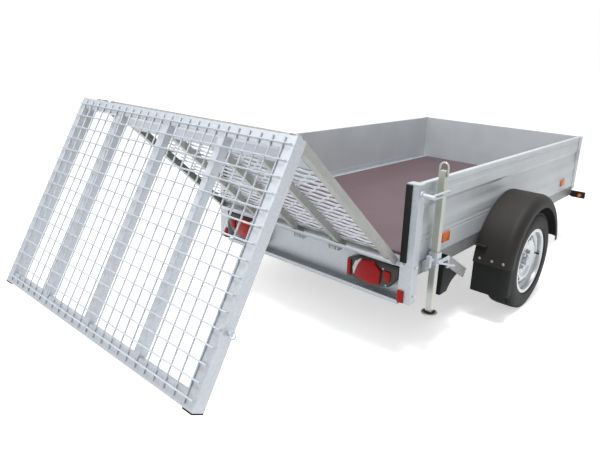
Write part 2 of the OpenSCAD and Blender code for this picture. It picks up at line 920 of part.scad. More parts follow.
module inner_leaf_grating() {
  cols = floor((2 * leaf_half - 40) / grating_pitch[0]);
  rows = floor((inner_length - 124) / grating_pitch[1]);
  x0 = -cols * grating_pitch[0] / 2;
  color("lightgray") inner_place()
    translate([0, 0, inner_top]) linear_extrude(grating_t) difference() {
      translate([-leaf_half, 6]) square([2 * leaf_half, inner_length - 30]);
      for (col = [0 : cols - 1]) for (row = [0 : rows - 1])
        translate([x0 + (col + 0.06) * grating_pitch[0],
                   64 + row * grating_pitch[1]])
          square([0.88 * grating_pitch[0], 0.72 * grating_pitch[1]]);
    }
}

tip_plate_length = 120;

module inner_tip_plate() {
  low = inner_top - inner_bar[1];
  start = inner_length - 64 - tip_plate_length;
  color([0.62, 0.68, 0.75]) inner_place()
    block([-leaf_half + inner_rail[0] + 2, start, low - 2],
          [leaf_half - inner_rail[0] - 2, start + tip_plate_length, low]);
}

outer_bars = [-0.5, 0, 0.5];

module outer_leaf_frame() {
  face = leaf_top + 2;
  low = face - outer_rail;
  ear_r = knuckle_r + 3;
  rail_in = outer_half - outer_rail;
  color("gainsboro") outer_place() union() {
    for (side = [-1, 1]) scale([side, 1, 1]) {
      translate([0, 3, 0])
        tube_y_dir([rail_in, 0, low], [outer_half, outer_length - 3, face],
                   leaf_sheet);
      // ear and pin of the tip hinge
      block([rail_in, 0, 0], [rail_in + 6, ear_r, low + 2]);
      rod_x(ear_r, rail_in, rail_in + 6);
      rod_x(tip_pin_r, leaf_half - 40, rail_in + 6);
    }
    for (y = [3, outer_length - 45])
      difference() {
        block([-rail_in - 1, y, face - cross_depth],
              [rail_in + 1, y + 45, face]);
        block([-rail_in - 2, y + leaf_sheet,
               face - cross_depth + leaf_sheet],
              [rail_in + 2, y + 45 - leaf_sheet, face - leaf_sheet]);
      }
    for (share = outer_bars) {
      x = share * outer_half;
      bar_low = face - outer_bar[1];
      difference() {
        block([x - outer_bar[0] / 2, 47, bar_low],
              [x + outer_bar[0] / 2, outer_length - 44, face]);
        block([x - outer_bar[0] / 2 + leaf_sheet, 46, bar_low + leaf_sheet],
              [x + outer_bar[0] / 2 + 1, outer_length - 43,
               face - leaf_sheet]);
      }
    }
  }
}

module outer_leaf_grid() {
  half_x = outer_half - 8;
  cols = floor(2 * (outer_half - 30) / grid_pitch);
  rows = floor((outer_length - 60) / grid_pitch);
  x0 = -cols * grid_pitch / 2;
  y0 = (outer_length - rows * grid_pitch) / 2;
  color("whitesmoke") outer_place() translate([0, 0, leaf_top + 2])
    linear_extrude(1.7 * wire) union() {
      for (col = [0 : cols])
        translate([x0 + col * grid_pitch - wire / 2, wire_end])
          square([wire, outer_length - 2 * wire_end]);
      for (row = [0 : rows])
        translate([-half_x, y0 + row * grid_pitch - wire / 2])
          square([2 * half_x, wire]);
    }
}

module outer_leaf_caps() {
  face = leaf_top + 2;
  color("black") outer_place() for (side = [-1, 1]) scale([side, 1, 1])
    translate([outer_half - outer_rail, outer_length, face - outer_rail])
      cube([outer_rail, cap_t, outer_rail]);
}

module lock_pins() {
  place = 0.72 * outer_length;
  mid = leaf_top + 2 - outer_rail / 2;
  color("silver") outer_place() for (side = [-1, 1]) scale([side, 1, 1])
    translate([0, place, mid]) union() {
      rod_x(6, outer_half, outer_half + 12);
      translate([outer_half + 12 + 8, 0, 0])
        rotate_extrude() translate([10, 0]) circle(r = 2.5);
    }
}

side_beam(LEFT);  // side_beam_left
side_beam(RIGHT);  // side_beam_right
floor_bearers();
rear_crossmember();
rear_posts();
front_posts();
side_wall(LEFT);  // side_wall_left
side_wall(RIGHT);  // side_wall_right
front_wall();
floor_panel();
edge_strips();
post_seals();
axle_beam();
trailing_arm(LEFT);  // trailing_arm_left
trailing_arm(RIGHT);  // trailing_arm_right
hub(LEFT);  // hub_left
hub(RIGHT);  // hub_right
rim(LEFT);  // rim_left
rim(RIGHT);  // rim_right
tyre(LEFT);  // tyre_left
tyre(RIGHT);  // tyre_right
mudguard(LEFT);  // mudguard_left
mudguard(RIGHT);  // mudguard_right
mud_flaps();
drawbar_leg(LEFT);  // drawbar_left
drawbar_leg(RIGHT);  // drawbar_right
coupling_body();
coupling_handle();
jockey_clamp();
jockey_tube();
jockey_crank();
jockey_leg();
jockey_fork();
jockey_wheel();
tail_lamps();
tail_lenses();
rear_reflectors();
side_reflectors();
marker_arms();
stand_clamps();
prop_stand(LEFT);  // prop_stand_left
prop_stand(RIGHT);  // prop_stand_right
ramp_latches();
chock_holders();
wheel_chocks();
bed_hinge();
inner_leaf_frame();
inner_leaf_grating();
inner_tip_plate();
outer_leaf_frame();
outer_leaf_grid();
outer_leaf_caps();
lock_pins();
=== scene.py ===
# %% [markdown]
# # A small utility trailer with a folding ramp
#
# The trailer's frame, walls, axle, ramp leaves and stands come ready made as
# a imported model, in metres, with +Y towards the coupling. This script gives
# every part its finish and adds what such a trailer is recognised by: the
# welded wire and the expanded metal of the ramp, tyre tread, pressed steel
# rims, lamps with moulded lenses, bolts and rivets.

# %% Load the fixed frame
import json
import math

import bmesh
import bpy
from mathutils import Matrix, Vector


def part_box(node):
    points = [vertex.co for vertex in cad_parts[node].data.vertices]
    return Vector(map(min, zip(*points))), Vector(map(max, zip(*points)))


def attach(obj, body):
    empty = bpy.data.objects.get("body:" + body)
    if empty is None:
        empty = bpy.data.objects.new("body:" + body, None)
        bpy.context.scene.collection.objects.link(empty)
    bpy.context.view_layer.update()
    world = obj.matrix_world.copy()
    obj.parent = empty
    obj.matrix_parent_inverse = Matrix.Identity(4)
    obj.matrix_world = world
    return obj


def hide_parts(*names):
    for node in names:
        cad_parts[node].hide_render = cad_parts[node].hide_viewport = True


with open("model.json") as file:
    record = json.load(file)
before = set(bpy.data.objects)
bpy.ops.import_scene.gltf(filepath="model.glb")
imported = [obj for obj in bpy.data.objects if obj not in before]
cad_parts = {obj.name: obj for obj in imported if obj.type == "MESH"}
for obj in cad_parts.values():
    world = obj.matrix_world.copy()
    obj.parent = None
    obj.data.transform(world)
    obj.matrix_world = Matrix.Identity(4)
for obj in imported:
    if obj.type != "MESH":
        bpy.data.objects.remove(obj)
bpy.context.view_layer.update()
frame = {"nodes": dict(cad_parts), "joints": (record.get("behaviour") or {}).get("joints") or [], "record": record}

NODES = frame["nodes"]
JOINTS = {joint["name"]: joint for joint in frame["joints"]}
SIDES = {"left": -1, "right": 1}
MM = 0.001

# %% [markdown]
# ## Measures from the frame
#
# Everything that is added later hangs on a few measures: where the box
# begins, how high the deck is, where the wheels turn, and how the two ramp
# leaves lean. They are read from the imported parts, so that no size is
# written twice.

# %% Box, deck and leaf measures
wall_low, wall_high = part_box("side_wall_right")
floor_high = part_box("floor_panel")[1]
post_low, post_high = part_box("rear_posts")
DECK = wall_low.z
BOX_HALF = wall_high.x
REAR_Y = post_low.y


def joint_point(name):
    return Vector(JOINTS[name]["pos_m"])


HINGE = joint_point("ramp_lower")
TIP = joint_point("ramp_unfold")
INNER_ANGLE = math.atan2(TIP.z - HINGE.z, HINGE.y - TIP.y)
OUTER_ANGLE = math.radians(JOINTS["ramp_unfold"]["range_deg"][1]) - INNER_ANGLE


def leaf_matrix(pivot, lean):
    """Leaf frame: +Y runs along the leaf, +Z is its drive side."""
    turn = Matrix.Rotation(lean, 4, "X") @ Matrix.Rotation(math.pi, 4, "Z")
    return Matrix.Translation(pivot) @ turn


INNER = leaf_matrix(HINGE, -INNER_ANGLE)
OUTER = leaf_matrix(TIP, OUTER_ANGLE)


def leaf_box(node, matrix):
    """Corners of a CAD node measured in a leaf's own frame."""
    back = matrix.inverted()
    points = [back @ v.co for v in NODES[node].data.vertices]
    low = Vector([min(p[i] for p in points) for i in range(3)])
    high = Vector([max(p[i] for p in points) for i in range(3)])
    return low, high


grid_low, grid_high = leaf_box("outer_leaf_grid", OUTER)
grate_low, grate_high = leaf_box("inner_leaf_grating", INNER)
inner_low, inner_high = leaf_box("inner_leaf_frame", INNER)
print("deck at", round(DECK, 3), "m, leaves lean",
      round(math.degrees(INNER_ANGLE), 2), "and",
      round(math.degrees(OUTER_ANGLE), 2), "degrees")

# %% [markdown]
# ## Camera and soft studio
#
# The view is from the rear right corner at about shoulder height, slightly
# tilted. The place is given in the frame's metres and the direction as a
# heading, a dip and a small roll, from which the three axes of the camera
# follow. The studio is one pale floor under a white sky and three large soft
# lamps, so metal has something broad to mirror.

# %% Camera


def make_camera():
    data = bpy.data.cameras.new("camera")
    data.sensor_width = 36
    data.lens = 32.8
    data.shift_x = -0.047
    data.shift_y = -0.018
    heading, dip, roll = (math.radians(a) for a in (39.58, 16.87, 2.54))
    ahead = Vector((-math.sin(heading) * math.cos(dip),
                    math.cos(heading) * math.cos(dip), -math.sin(dip)))
    level = Vector((math.cos(heading), math.sin(heading), 0))
    above = level.cross(ahead)
    right = level * math.cos(roll) + above * math.sin(roll)
    up = above * math.cos(roll) - level * math.sin(roll)
    camera = bpy.data.objects.new("camera", data)
    place = Vector((1.737, REAR_Y - 1.909, DECK + 0.870))
    camera.matrix_world = Matrix((
        (right.x, up.x, -ahead.x, place.x),
        (right.y, up.y, -ahead.y, place.y),
        (right.z, up.z, -ahead.z, place.z),
        (0, 0, 0, 1)))
    bpy.context.scene.collection.objects.link(camera)
    bpy.context.scene.camera = camera
    return camera


camera = make_camera()
print("camera at", tuple(round(v, 3) for v in camera.location))

# %% Sky, lamps and floor


def seen_directly(tree):
    """1 for rays that show the backdrop itself: camera, gloss and glass."""
    path = tree.nodes.new("ShaderNodeLightPath")
    first = tree.nodes.new("ShaderNodeMath")
    first.operation = "MAXIMUM"
    second = tree.nodes.new("ShaderNodeMath")
    second.operation = "MAXIMUM"
    tree.links.new(path.outputs["Is Camera Ray"], first.inputs[0])
    tree.links.new(path.outputs["Is Glossy Ray"], first.inputs[1])
    tree.links.new(first.outputs[0], second.inputs[0])
    tree.links.new(path.outputs["Is Transmission Ray"], second.inputs[1])
    return second.outputs[0]


def make_world():
    world = bpy.data.worlds.new("white_sky")
    world.use_nodes = True
    tree = world.node_tree
    tree.nodes.clear()
    light = tree.nodes.new("ShaderNodeBackground")
    light.inputs["Color"].default_value = (0.985, 0.99, 1.0, 1)
    light.inputs["Strength"].default_value = 0.50
    white = tree.nodes.new("ShaderNodeBackground")
    white.inputs["Color"].default_value = (1, 1, 1, 1)
    white.inputs["Strength"].default_value = 1.0
    mix = tree.nodes.new("ShaderNodeMixShader")
    out = tree.nodes.new("ShaderNodeOutputWorld")
    tree.links.new(seen_directly(tree), mix.inputs[0])
    tree.links.new(light.outputs[0], mix.inputs[1])
    tree.links.new(white.outputs[0], mix.inputs[2])
    tree.links.new(mix.outputs[0], out.inputs[0])
    bpy.context.scene.world = world


def make_lamp(name, place, target, size, watts):
    data = bpy.data.lights.new(name, "AREA")
    data.shape = "RECTANGLE"
    data.size, data.size_y = size
    data.energy = watts
    lamp = bpy.data.objects.new(name, data)
    lamp.location = place
    aim = Vector(target) - Vector(place)
    lamp.rotation_euler = aim.to_track_quat("-Z", "Y").to_euler()
    bpy.context.scene.collection.objects.link(lamp)


def make_floor():
    mesh = bpy.data.meshes.new("studio_floor")
    half = 90
    mesh.from_pydata([(-half, -half, 0), (half, -half, 0),
                      (half, half, 0), (-half, half, 0)], [], [(0, 1, 2, 3)])
    floor = bpy.data.objects.new("studio_floor", mesh)
    bpy.context.scene.collection.objects.link(floor)
    material = bpy.data.materials.new("pale_floor")
    material.use_nodes = True
    tree = material.node_tree
    shader = tree.nodes["Principled BSDF"]
    shader.inputs["Base Color"].default_value = (0.90, 0.90, 0.90, 1)
    shader.inputs["Roughness"].default_value = 0.9
    shader.inputs["Emission Color"].default_value = (1, 1, 1, 1)
    lift = tree.nodes.new("ShaderNodeMath")
    lift.operation = "MULTIPLY"
    lift.inputs[1].default_value = 0.54
    tree.links.new(seen_directly(tree), lift.inputs[0])
    tree.links.new(lift.outputs[0], shader.inputs["Emission Strength"])
    mesh.materials.append(material)


make_world()
make_floor()
make_lamp("key", (0.9, -1.6, 5.2), (0, 0, 0.4), (1.6, 1.6), 285)
make_lamp("fill", (-1.5, -4.5, 3.6), (0, 0.2, 0.4), (3.0, 3.0), 60)
make_lamp("over", (0.5, 0.1, 2.4), (-0.6, 0.3, 0.7), (0.8, 1.4), 16)
scene = bpy.context.scene
scene.view_settings.view_transform = "Standard"
print("studio ready")

# %% [markdown]
# ## Finishes
#
# Each finish is a small node tree on Object coordinates, in metres, so a
# pattern has its true scale on every part. Hot-dip zinc shows crystals of
# about a centimetre and bright zinc finer ones; yellow zinc and the rolled
# walls show fine streaks; the floor board has the print of a wire mesh; rubber
# and plastic have a grain.
# A helper lays one pattern over the colour and one over the bump, and each
# finish calls it with its own scales.

# %% Pattern helper


def add(tree, kind, **values):
    node = tree.nodes.new(kind)
    for key, value in values.items():
        setattr(node, key, value)
    return node


def coordinates(tree, scale=(1, 1, 1)):
    where = add(tree, "ShaderNodeTexCoord")
    stretch = add(tree, "ShaderNodeMapping")
    stretch.inputs["Scale"].default_value = scale
    tree.links.new(where.outputs["Object"], stretch.inputs["Vector"])
    return stretch.outputs["Vector"]


def noise(tree, vector, scale, detail=3):
    node = add(tree, "ShaderNodeTexNoise")
    node.inputs["Scale"].default_value = scale
    node.inputs["Detail"].default_value = detail
    tree.links.new(vector, node.inputs["Vector"])
    return node.outputs["Fac"]


def crystals(tree, vector, scale):
    node = add(tree, "ShaderNodeTexVoronoi")
    node.inputs["Scale"].default_value = scale
    tree.links.new(vector, node.inputs["Vector"])
    split = add(tree, "ShaderNodeSeparateColor")
    tree.links.new(node.outputs["Color"], split.inputs[0])
    return split.outputs[0]


def between(tree, factor, low, high):
    """A value that runs from low to high as the factor runs from 0 to 1."""
    node = add(tree, "ShaderNodeMapRange")
    node.inputs["To Min"].default_value = low
    node.inputs["To Max"].default_value = high
    tree.links.new(factor, node.inputs["Value"])
    return node.outputs["Result"]


def shade(tree, color, factor, spread):
    """The colour, made up to spread darker or lighter by the factor."""
    ramp = add(tree, "ShaderNodeValToRGB")
    dark = [c * (1 - spread) for c in color] + [1]
    light = [min(c * (1 + spread), 1) for c in color] + [1]
    ramp.color_ramp.elements[0].position = 0.25
    ramp.color_ramp.elements[1].position = 0.75
    ramp.color_ramp.elements[0].color = dark
    ramp.color_ramp.elements[1].color = light
    tree.links.new(factor, ramp.inputs["Fac"])
    return ramp.outputs["Color"]


def bump(tree, shader, height, distance, strength=0.6):
    node = add(tree, "ShaderNodeBump")
    node.inputs["Strength"].default_value = strength
    node.inputs["Distance"].default_value = distance
    tree.links.new(height, node.inputs["Height"])
    tree.links.new(node.outputs["Normal"], shader.inputs["Normal"])


def start_finish(name, metallic=0.0, specular=0.5):
    material = bpy.data.materials.new(name)
    material.use_nodes = True
    tree = material.node_tree
    shader = tree.nodes["Principled BSDF"]
    shader.inputs["Metallic"].default_value = metallic
    shader.inputs["Specular IOR Level"].default_value = specular
    return material, tree, shader


# %% Metal finishes


def zinc(name, color, metallic, roughness, crystal=110, spread=0.10):
    """Zinc coat: crystals in the colour and the gloss, slight unevenness."""
    material, tree, shader = start_finish(name, metallic)
    where = coordinates(tree)
    grain = crystals(tree, where, crystal)
    cloud = noise(tree, where, 9)
    both = add(tree, "ShaderNodeMath", operation="ADD")
    half = add(tree, "ShaderNodeMath", operation="MULTIPLY")
    half.inputs[1].default_value = 0.5
    tree.links.new(grain, both.inputs[0])
    tree.links.new(cloud, both.inputs[1])
    tree.links.new(both.outputs[0], half.inputs[0])
    tree.links.new(shade(tree, color, half.outputs[0], spread),
                   shader.inputs["Base Color"])
    tree.links.new(between(tree, grain, roughness - 0.06, roughness + 0.08),
                   shader.inputs["Roughness"])
    bump(tree, shader, noise(tree, where, 260), 0.0006, 0.35)
    return material


def rolled(name, color, metallic, roughness, along=(40, 1.5, 160)):
    """Rolled or drawn metal: fine streaks along the trailer."""
    material, tree, shader = start_finish(name, metallic)
    streaks = noise(tree, coordinates(tree, along), 6, 5)
    cloud = noise(tree, coordinates(tree), 5)
    tree.links.new(shade(tree, color, cloud, 0.06),
                   shader.inputs["Base Color"])
    tree.links.new(between(tree, streaks, roughness - 0.09, roughness + 0.09),
                   shader.inputs["Roughness"])
    bump(tree, shader, streaks, 0.0004, 0.3)
    return material


def wheel_paint(name, color):
    """Silver paint: a little sparkle under a thin clear coat."""
    material, tree, shader = start_finish(name, 0.55)
    where = coordinates(tree)
    flakes = crystals(tree, where, 900)
    tree.links.new(shade(tree, color, flakes, 0.07),
                   shader.inputs["Base Color"])
    tree.links.new(between(tree, noise(tree, where, 30), 0.28, 0.42),
                   shader.inputs["Roughness"])
    shader.inputs["Coat Weight"].default_value = 0.25
    shader.inputs["Coat Roughness"].default_value = 0.2
    bump(tree, shader, noise(tree, where, 400), 0.0002, 0.2)
    return material


# %% Board, rubber, plastic and lens finishes


def film_board(name, color):
    """Film-faced plywood: the print of a wire mesh in a dark brown film."""
    material, tree, shader = start_finish(name, 0.0, 0.30)
    where = coordinates(tree)
    waves = []
    for axis in ("X", "Y"):
        wave = add(tree, "ShaderNodeTexWave", bands_direction=axis)
        wave.inputs["Scale"].default_value = 70
        tree.links.new(where, wave.inputs["Vector"])
        waves.append(wave.outputs["Fac"])
    mesh = add(tree, "ShaderNodeMath", operation="MAXIMUM")
    tree.links.new(waves[0], mesh.inputs[0])
    tree.links.new(waves[1], mesh.inputs[1])
    cloud = noise(tree, where, 3.5, 6)
    tree.links.new(shade(tree, color, cloud, 0.16),
                   shader.inputs["Base Color"])
    tree.links.new(between(tree, cloud, 0.42, 0.62),
                   shader.inputs["Roughness"])
    bump(tree, shader, mesh.outputs[0], 0.0007, 0.35)
    return material


def moulded(name, color, roughness, grain=500, depth=0.0003, coat=0.0):
    """Moulded rubber or plastic: fine grain, slightly uneven sheen."""
    material, tree, shader = start_finish(name, 0.0, 0.22)
    where = coordinates(tree)
    cloud = noise(tree, where, 7)
    tree.links.new(shade(tree, color, cloud, 0.18),
                   shader.inputs["Base Color"])
    tree.links.new(between(tree, cloud, roughness - 0.07, roughness + 0.07),
                   shader.inputs["Roughness"])
    shader.inputs["Coat Weight"].default_value = coat
    bump(tree, shader, noise(tree, where, grain), depth, 0.5)
    return material


def lens(name, color):
    """Moulded lens: prisms behind a smooth, glossy face."""
    material, tree, shader = start_finish(name, 0.0, 0.14)
    where = coordinates(tree)
    prisms = add(tree, "ShaderNodeTexVoronoi", distance="CHEBYCHEV")
    prisms.inputs["Scale"].default_value = 220
    prisms.inputs["Randomness"].default_value = 0.0
    tree.links.new(where, prisms.inputs["Vector"])
    tree.links.new(shade(tree, color, prisms.outputs["Distance"], 0.22),
                   shader.inputs["Base Color"])
    shader.inputs["Roughness"].default_value = 0.30
    shader.inputs["Coat Weight"].default_value = 0.06
    shader.inputs["Coat Roughness"].default_value = 0.12
    bump(tree, shader, prisms.outputs["Distance"], 0.0008, 0.35)
    return material


FINISH = {
    "galvanised": zinc("galvanised", (0.24, 0.245, 0.25), 0.55, 0.46),
    "galvanised_light": zinc("galvanised_light", (0.40, 0.43, 0.455),
                             0.45, 0.42, spread=0.06),
    "bright_zinc": zinc("bright_zinc", (0.47, 0.50, 0.54), 0.35, 0.40,
                        crystal=160, spread=0.07),
    "leaf_galvanised": zinc("leaf_galvanised", (0.30, 0.31, 0.295),
                            0.45, 0.44),
    "leaf_plate": zinc("leaf_plate", (0.30, 0.33, 0.38), 0.5, 0.38),
    "yellow_zinc": rolled("yellow_zinc", (0.40, 0.415, 0.375), 0.55, 0.34,
                          along=(120, 120, 3)),
    "wall_metal": rolled("wall_metal", (0.42, 0.445, 0.465), 0.35, 0.40),
    "floor_board": film_board("floor_board", (0.088, 0.058, 0.067)),
    "black_rubber": moulded("black_rubber", (0.005, 0.006, 0.006), 0.70),
    "tyre_rubber": moulded("tyre_rubber", (0.014, 0.014, 0.015), 0.66,
                           grain=300),
    "black_plastic": moulded("black_plastic", (0.014, 0.012, 0.011), 0.60,
                             grain=900),
    "wheel_silver": wheel_paint("wheel_silver", (0.46, 0.485, 0.50)),
    "lamp_black": moulded("lamp_black", (0.012, 0.012, 0.012), 0.3,
                          coat=0.3),
    "lamp_red": lens("lamp_red", (0.30, 0.002, 0.003)),
    "lamp_amber": lens("lamp_amber", (0.60, 0.13, 0.015)),
    "lamp_clear": lens("lamp_clear", (0.62, 0.60, 0.60)),
}
print(len(FINISH), "finishes")

# %% Put the finishes on the frame's parts
SLOT_OF = {part["node"]: part["material_slot"]
           for part in frame["record"]["subparts"]}
for name, obj in NODES.items():
    obj.data.materials.clear()
    obj.data.materials.append(FINISH[SLOT_OF[name]])
print("finishes on", len(NODES), "parts")

# %% [markdown]
# ## Making and handing over a piece
#
# A finished piece keeps its object at the origin and its place in its mesh,
# so a pattern on Object coordinates stays where it is. The helpers below
# turn mesh data into such a piece, and evaluate a Geometry Nodes tree into a
# plain mesh.

# %% Piece helpers


def hand_over(obj, body, replaces=(), smooth=True, angle=35):
    """Rides the piece on its body and hides the parts it stands for."""
    if smooth:
        obj.data.shade_smooth()
        obj.data.set_sharp_from_angle(angle=math.radians(angle))
    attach(obj, body)
    if replaces:
        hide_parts(*replaces)
    return obj


def to_object(bm, name, slot, matrix=None):
    """Closes a bmesh into a linked object with outward faces."""
    if matrix is not None:
        bm.transform(matrix)
    bmesh.ops.remove_doubles(bm, verts=bm.verts, dist=1e-6)
    bmesh.ops.recalc_face_normals(bm, faces=bm.faces)
    mesh = bpy.data.meshes.new(name)
    bm.to_mesh(mesh)
    bm.free()
    mesh.materials.append(FINISH[slot])
    obj = bpy.data.objects.new(name, mesh)
    bpy.context.scene.collection.objects.link(obj)
    return obj


def bevel(obj, width, segments=2, angle=40):
    """Rounds the edges of a piece and bakes the result into its mesh."""
    rounding = obj.modifiers.new("rounding", "BEVEL")
    rounding.width = width
    rounding.segments = segments
    rounding.limit_method = "ANGLE"
    rounding.angle_limit = math.radians(angle)
    bake(obj)
    return obj


def bake(obj):
    """Turns an object's modifiers into plain mesh."""
    graph = bpy.context.evaluated_depsgraph_get()
    mesh = bpy.data.meshes.new_from_object(obj.evaluated_get(graph))
    obj.modifiers.clear()
    old = obj.data
    obj.data = mesh
    bpy.data.meshes.remove(old)
    return obj


def add_box(bm, low, high):
    """Adds a box between two corners to a bmesh."""
    corners = [(x, y, z) for x in (low[0], high[0])
               for y in (low[1], high[1]) for z in (low[2], high[2])]
    verts = [bm.verts.new(c) for c in corners]
    for face in ((0, 1, 3, 2), (4, 6, 7, 5), (0, 4, 5, 1),
                 (2, 3, 7, 6), (0, 2, 6, 4), (1, 5, 7, 3)):
        bm.faces.new([verts[i] for i in face])


def swept(profile, steps, start=0.0, end=360.0):
    """Turns a closed outline of (radius, along) about the X axis."""
    bm = bmesh.new()
    full = end - start > 359.9
    rings = []
    for step in range(steps if full else steps + 1):
        turn = math.radians(start + (end - start) * step / steps)
        rings.append([bm.verts.new((x, r * math.cos(turn), r * math.sin(turn)))
                      for r, x in profile])
    count = len(profile)
    for step in range(steps):
        here, there = rings[step], rings[(step + 1) % len(rings)]
        for i in range(count):
            j = (i + 1) % count
            bm.faces.new((here[i], here[j], there[j], there[i]))
    if not full:
        bm.faces.new(rings[0])
        bm.faces.new(rings[-1])
    return bm


def plate(bm, outline, low, high):
    """Adds a prism: an outline in X and Z between two depths along Y."""
    back = [bm.verts.new((x, low, z)) for x, z in outline]
    front = [bm.verts.new((x, high, z)) for x, z in outline]
    count = len(outline)
    bm.faces.new(back)
    bm.faces.new(front)
    for i in range(count):
        j = (i + 1) % count
        bm.faces.new((back[i], back[j], front[j], front[i]))


def rod(bm, start, end, radius, sides=10):
    """Adds a round bar between two points."""
    start, end = Vector(start), Vector(end)
    aim = (end - start).to_track_quat("Z", "Y").to_matrix()
    rings = []
    for middle in (start, end):
        rings.append([bm.verts.new(middle + aim @ Vector(
            (radius * math.cos(2 * math.pi * i / sides),
             radius * math.sin(2 * math.pi * i / sides), 0)))
            for i in range(sides)])
    bm.faces.new(rings[0])
    bm.faces.new(rings[1])
    for i in range(sides):
        j = (i + 1) % sides
        bm.faces.new((rings[0][i], rings[0][j], rings[1][j], rings[1][i]))


def bent_rod(bm, points, radius, sides=10):
    """Adds a round bar bent along a line of points, as one closed tube."""
    points = [Vector(p) for p in points]
    rings = []
    for i, middle in enumerate(points):
        before = points[max(i - 1, 0)]
        after = points[min(i + 1, len(points) - 1)]
        aim = (after - before).to_track_quat("Z", "Y").to_matrix()
        rings.append([bm.verts.new(middle + aim @ Vector(
            (radius * math.cos(2 * math.pi * k / sides),
             radius * math.sin(2 * math.pi * k / sides), 0)))
            for k in range(sides)])
    for here, there in zip(rings, rings[1:]):
        turn = min(range(sides), key=lambda k: (there[k].co - here[0].co).length)
        for k in range(sides):
            j = (k + 1) % sides
            bm.faces.new((here[k], here[j], there[(j + turn) % sides],
                          there[(k + turn) % sides]))
    bm.faces.new(rings[0])
    bm.faces.new(rings[-1])


# %% Geometry Nodes helpers


class Tree:
    """A Geometry Nodes tree with named inputs, built from the script."""

    def __init__(self, name, **inputs):
        self.group = bpy.data.node_groups.new(name, "GeometryNodeTree")
        face = self.group.interface
        kinds = {float: "NodeSocketFloat", int: "NodeSocketInt"}
        face.new_socket("Shape", in_out="INPUT",
                        socket_type="NodeSocketGeometry")
        for key, value in inputs.items():
            socket = face.new_socket(key, in_out="INPUT",
                                     socket_type=kinds[type(value)])
            socket.default_value = value
        face.new_socket("Result", in_out="OUTPUT",
                        socket_type="NodeSocketGeometry")
        self.start = self.group.nodes.new("NodeGroupInput")
        self.end = self.group.nodes.new("NodeGroupOutput")

    def node(self, kind, settings=None, **links):
        """Adds a node; links name its inputs and give a value or an output."""
        item = self.group.nodes.new(kind)
        for key, value in (settings or {}).items():
            setattr(item, key, value)
        for key, value in links.items():
            socket = item.inputs[key.replace("_", " ")]
            if isinstance(value, bpy.types.NodeSocket):
                self.group.links.new(value, socket)
            else:
                socket.default_value = value
        return item

    def value(self, name):
        return self.start.outputs[name]

    def math(self, operation, first, second=0.0):
        item = self.group.nodes.new("ShaderNodeMath")
        item.operation = operation
        for socket, value in zip(item.inputs, (first, second)):
            if isinstance(value, bpy.types.NodeSocket):
                self.group.links.new(value, socket)
            else:
                socket.default_value = value
        return item.outputs[0]

    def vector(self, x=0.0, y=0.0, z=0.0):
        return self.node("ShaderNodeCombineXYZ", X=x, Y=y, Z=z).outputs[0]

    def finish(self, geometry, material):
        """Ends the tree: instances realized, material set."""
        real = self.node("GeometryNodeRealizeInstances", Geometry=geometry)
        coat = self.node("GeometryNodeSetMaterial",
                         Geometry=real.outputs[0], Material=material)
        self.group.links.new(coat.outputs[0], self.end.inputs["Result"])


def run_tree(tree, name, mesh=None, matrix=None):
    """Evaluates a tree on a mesh and returns the plain result."""
    base = mesh or bpy.data.meshes.new(name + "_base")
    obj = bpy.data.objects.new(name, base)
    bpy.context.scene.collection.objects.link(obj)
    modifier = obj.modifiers.new("tree", "NODES")
    modifier.node_group = tree.group
    bake(obj)
    if matrix is not None:
        obj.data.transform(matrix)
    obj.data.update()
    return obj


# %% [markdown]
# ## The welded wire of the outer leaf
#
# Round wires of 6 mm, about 50 mm apart, are welded on the drive face of the
# outer leaf: one set along it and one across, the second lying on the first.
# Geometry Nodes suit this well: a line of points, a wire instanced on each,
# twice. The pitch, the wire's radius and the two lengths are inputs.

# %% Wire grid tree


def wire_layer(tree, length, count, pitch, along, height):
    """One set of parallel wires."""
    span = tree.math("MULTIPLY", tree.math("SUBTRACT", count, 1), pitch)
    first = tree.math("MULTIPLY", span, -0.5)
    turned = math.pi / 2
    step = tree.vector(x=pitch) if along else tree.vector(y=pitch)
    begin = (tree.vector(x=first, z=height) if along
             else tree.vector(y=first, z=height))
    points = tree.node("GeometryNodeMeshLine", Count=count,
                       Start_Location=begin, Offset=step)
    rod = tree.node("GeometryNodeMeshCylinder", Vertices=8,
                    Side_Segments=1, Radius=tree.value("Wire radius"),
                    Depth=length)
    rod = tree.node("GeometryNodeTransform", Geometry=rod.outputs["Mesh"],
                    Rotation=((turned, 0, 0) if along else (0, turned, 0)))
    return tree.node("GeometryNodeInstanceOnPoints",
                     Points=points.outputs["Mesh"],
                     Instance=rod.outputs[0]).outputs[0]


def wire_grid(name, half_x, half_y, pitch, radius, material, matrix):
    tree = Tree(name + "_tree", **{
        "Pitch": pitch, "Wire radius": radius,
        "Wires along": int(2 * (half_x - 0.02) / pitch) + 1,
        "Wires across": int(2 * (half_y - 0.02) / pitch) + 1,
        "Length along": 2 * half_y, "Length across": 2 * half_x})
    layers = [
        wire_layer(tree, tree.value("Length along"),
                   tree.value("Wires along"), tree.value("Pitch"),
                   True, tree.value("Wire radius")),
        wire_layer(tree, tree.value("Length across"),
                   tree.value("Wires across"), tree.value("Pitch"), False,
                   tree.math("MULTIPLY", tree.value("Wire radius"), 2.4))]
    join = tree.node("GeometryNodeJoinGeometry")
    for layer in layers:
        tree.group.links.new(layer, join.inputs[0])
    tree.finish(join.outputs[0], material)
    return run_tree(tree, name, matrix=matrix)


grid_mid = (grid_low + grid_high) / 2
grid_place = OUTER @ Matrix.Translation((0, grid_mid.y, grid_low.z))
WIRE_PITCH = 0.052
WIRE_RADIUS = 0.0030
grid = wire_grid("outer_wire_grid", grid_high.x, grid_high.y - grid_mid.y,
                 WIRE_PITCH, WIRE_RADIUS, FINISH["bright_zinc"], grid_place)
hand_over(grid, "outer_leaf", ["outer_leaf_grid"])
print("wire grid:", len(grid.data.polygons), "faces")

